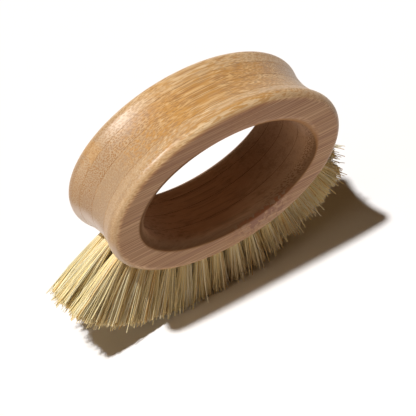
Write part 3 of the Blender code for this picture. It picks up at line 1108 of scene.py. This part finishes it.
def glueMaterial(groups):
    material, tree, shader = principled("glueLine")
    place = addNode(tree, "ShaderNodeTexCoord")["Object"]
    sides = placeGroup(tree, groups["sides"], sidesInputs())
    mottle = noise(place, glue["mottleScale"], detail=3.0)
    colour = ramp(mottle, glue["tones"])
    feed(shader.inputs["Base Color"], tint(colour, sides["Hole"] * glue["holeShare"], glue["holeTone"]))
    feed(shader.inputs["Roughness"], rescale(mottle, *glue["roughSpots"], *glue["roughness"]))
    shader.inputs["Specular IOR Level"].default_value = glue["specular"]
    addRelief(tree, shader, glue["bumpStrength"], glue["bumpDistance"], mottle)
    return material


# Plant fibre: pale straw with some yellow and brown ones among it, darker at the roots

straw = {
    "tones": [(0.00, (0.580, 0.360, 0.120)), (0.08, (0.820, 0.590, 0.240)), (0.20, (0.950, 0.800, 0.430)),
              (0.45, (0.985, 0.885, 0.540)), (0.80, (0.995, 0.930, 0.650)), (1.00, (1.000, 0.970, 0.790))],
    "tuftShare": 0.10,
    "rootTone": (0.780, 0.520, 0.200),
    "rootShare": 0.30,
    "rootAlong": (0.50, 0.05),
    "tipTone": (0.420, 0.260, 0.120),  # painted shade: tips darker brown in the middle of the fan
    "tipShare": 0.48,
    "tipAlong": (0.40, 1.0),
    "tipX": (-0.022, 0.010),
    "tipEndX": (0.062, 0.042),
    "fleckTone": (0.720, 0.560, 0.320),
    "fleckShare": 0.20,
    "fleckScale": 900.0,
    "fleckSpots": (0.60, 0.78),
    "roughSpots": (0.3, 0.7),
    "roughness": (0.47, 0.65),
    "specular": 0.12,
    "bumpStrength": 0.25,
    "bumpDistance": 0.00003,
}


def fibreMaterial():
    material, tree, shader = principled("plantFibre")

    def read(name):
        return addNode(tree, "ShaderNodeAttribute", attribute_name=name)["Fac"]

    tuftTone = read("tuftTone") - 0.5
    tone = maths("MULTIPLY_ADD", tuftTone, straw["tuftShare"], read("fibreTone"), clamp=True)
    along = read("fibreAlong")
    place = addNode(tree, "ShaderNodeTexCoord")["Object"]
    across = splitXyz(place)[0]
    flecks = noise(place, straw["fleckScale"], detail=2.0)
    colour = ramp(tone, straw["tones"])
    # Darker, more golden roots: partly the fibres' own colour, partly painted shade where they crowd into
    # the groove
    colour = tint(colour, rescale(along, *straw["rootAlong"], 0.0, straw["rootShare"]), straw["rootTone"])
    # Painted shade: the tips in the middle of the fan are darkened
    shadedTips = rescale(across, *straw["tipX"]) * rescale(across, *straw["tipEndX"])
    shadedTips = shadedTips * rescale(along, *straw["tipAlong"], 0.0, straw["tipShare"])
    colour = tint(colour, shadedTips, straw["tipTone"])
    fleckShare = rescale(flecks, *straw["fleckSpots"], 0.0, straw["fleckShare"])
    feed(shader.inputs["Base Color"], tint(colour, fleckShare, straw["fleckTone"]))
    feed(shader.inputs["Roughness"], rescale(flecks, *straw["roughSpots"], *straw["roughness"]))
    shader.inputs["Specular IOR Level"].default_value = straw["specular"]
    addRelief(tree, shader, straw["bumpStrength"], straw["bumpDistance"], flecks)
    return material


# Make the boards and the glue films between them

groups = {"grain": buildBambooGrain(), "node": buildBambooNode(), "sides": buildRingSides()}
tuftPlaces = buildTuftPlaces()
boardTree = buildBoardTree(tuftPlaces)


def loft(name, start, end, material, recess=0.0, sectionPoints=board["sectionPoints"], drilled=False):
    # A slice of the ring between two places on Y
    piece = runTree(name, boardTree, {
        **ringValues,
        "End Wall": ring["endWall"],
        "Top Wall": ring["topWall"],
        "Inner Rounding": ring["innerRounding"],
        "Start Depth": start - ring["nearFace"],
        "End Depth": end - ring["nearFace"],
        "Recess": recess,
        "Stations": board["stations"],
        "Section Points": sectionPoints,
        "Drilled": drilled,
    }, material)
    turnFacesOut(piece.data)
    return piece


for label, look in boards.items():
    low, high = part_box(look["node"])
    wood = bambooMaterial("bamboo" + label.capitalize(), look, groups)
    piece = loft("board" + label.capitalize(), low[1], high[1], wood, drilled=look["drilled"])
    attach(piece, "root")
    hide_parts(look["node"])
    print(piece.name, len(piece.data.polygons), "faces")

glueLook = glueMaterial(groups)
for front, back in (("near", "second"), ("second", "third"), ("third", "far")):
    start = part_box(boards[front]["node"])[1][1] + glue["clearance"]
    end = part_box(boards[back]["node"])[0][1] - glue["clearance"]
    film = loft("glue" + front.capitalize(), start, end, glueLook, glue["recess"], glue["sectionPoints"])
    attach(film, "root")
print("boards and glue made")


# Make the three rows of fibres

fibreTree = buildFibreTree(tuftPlaces)
fibreLook = fibreMaterial()
for side, label in ((-1, "near"), (0, "middle"), (1, "far")):
    piece = runTree("fibres" + label.capitalize(), fibreTree, {
        **ringValues,
        "Row Depth": rowDepth(side),
        "Tufts": rowTufts(side),
        "End Trim": rowTrim(side),
        "Splay": side * fibre["splay"],
        "Left Splay": -fibre["leftSplay"],
        "Left Lean": fibre["nearLeftLean"] if side < 0 else fibre["inwardLean"],
        "Tip Reach Share": fibre["tipReachShare"],
        "Left Reach Share": fibre["leftReachShare"],
        "Tip Reach Across": fibre["tipReachAcross"],
        "Fibres": fibre["perTuft"],
        "Fibre Radius": fibre["radius"],
        "Free Length": fibre["length"],
        "Seed": fibre["seed"] + fibre["seedStep"] * (side + 1),
    }, fibreLook)
    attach(piece, "root")
    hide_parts(*[f"tuft_{label}_{k + 1:02d}" for k in range(rowTufts(side))])
    print(piece.name, len(piece.data.polygons), "faces")


# Floor, light and camera

studio = {
    "floorSize": 6.0,
    "floorSeen": (1.0, 1.0, 1.0),
    "floorGiven": (0.66, 0.55, 0.46),
    "floorRoughness": 0.9,
    "sunStrength": 3.30,
    "sunColour": (1.0, 0.99, 0.985),
    "sunSoftness": math.radians(3.0),
    "sunTravel": (0.41, -0.04, -1.0),
    "fillStrength": 1.00,
    "fillColour": (1.0, 0.86, 0.68),
    "fillSoftness": math.radians(24.0),
    "fillTravel": (1.0, 0.08, -0.14),
    "skySeen": (1.0, 1.0, 1.0),
    "skyColour": (0.058, 0.030, 0.011),
}


def seenDirectly(tree):
    # What the camera sees of the studio, straight or in a shine, is white
    path = addNode(tree, "ShaderNodeLightPath")
    shine = maths("MAXIMUM", path["Is Glossy Ray"], path["Is Transmission Ray"])
    return maths("MAXIMUM", path["Is Camera Ray"], shine)


def makeFloor():
    half = studio["floorSize"] / 2
    corners = [(-half, -half, 0), (half, -half, 0), (half, half, 0), (-half, half, 0)]
    mesh = bpy.data.meshes.new("floor")
    mesh.from_pydata(corners, [], [(0, 1, 2, 3)])
    floor = bpy.data.objects.new("floor", mesh)
    bpy.context.scene.collection.objects.link(floor)
    material, tree, shader = principled("paleFloor")
    colour = tint(studio["floorGiven"], seenDirectly(tree), studio["floorSeen"])
    feed(shader.inputs["Base Color"], colour)
    shader.inputs["Roughness"].default_value = studio["floorRoughness"]
    shader.inputs["Specular IOR Level"].default_value = 0.0
    mesh.materials.append(material)


def makeLight():
    for name in ("sun", "fill"):
        lamp = bpy.data.lights.new(name, "SUN")
        lamp.energy = studio[name + "Strength"]
        lamp.color = studio[name + "Colour"]
        lamp.angle = studio[name + "Softness"]
        holder = bpy.data.objects.new(name, lamp)
        holder.rotation_euler = Vector(studio[name + "Travel"]).to_track_quat("-Z", "Y").to_euler()
        bpy.context.scene.collection.objects.link(holder)
    world = bpy.data.worlds.new("studio")
    world.use_nodes = True
    tree = world.node_tree
    colour = tint(studio["skyColour"], seenDirectly(tree), studio["skySeen"])
    feed(tree.nodes["Background"].inputs["Color"], colour)
    bpy.context.scene.world = world


camera = {
    "azimuth": math.radians(-35.82),
    "elevation": math.radians(44.64),
    "distance": 0.850,
    "right": 0.00076,
    "up": -0.02132,
    "lens": 164.9,
    "sensor": 36.0,
    "clipStart": 0.01,
}


def makeCamera():
    a, e = camera["azimuth"], camera["elevation"]
    back = Vector((math.sin(a) * math.cos(e), -math.cos(a) * math.cos(e), math.sin(e)))
    right = Vector((math.cos(a), math.sin(a), 0.0))
    up = back.cross(right)
    lens = bpy.data.cameras.new("camera")
    lens.lens = camera["lens"]
    lens.sensor_width = camera["sensor"]
    lens.clip_start = camera["clipStart"]
    seat = bpy.data.objects.new("camera", lens)
    centre = Vector((0.0, 0.0, ring["centreZ"]))
    place = centre + back * camera["distance"] + right * camera["right"] + up * camera["up"]
    seat.matrix_world = Matrix.Translation(place) @ Matrix((right, up, back)).transposed().to_4x4()
    bpy.context.scene.collection.objects.link(seat)
    bpy.context.scene.camera = seat


makeFloor()
makeLight()
makeCamera()
bpy.context.scene.view_settings.view_transform = "Standard"
print("floor, light and camera set")
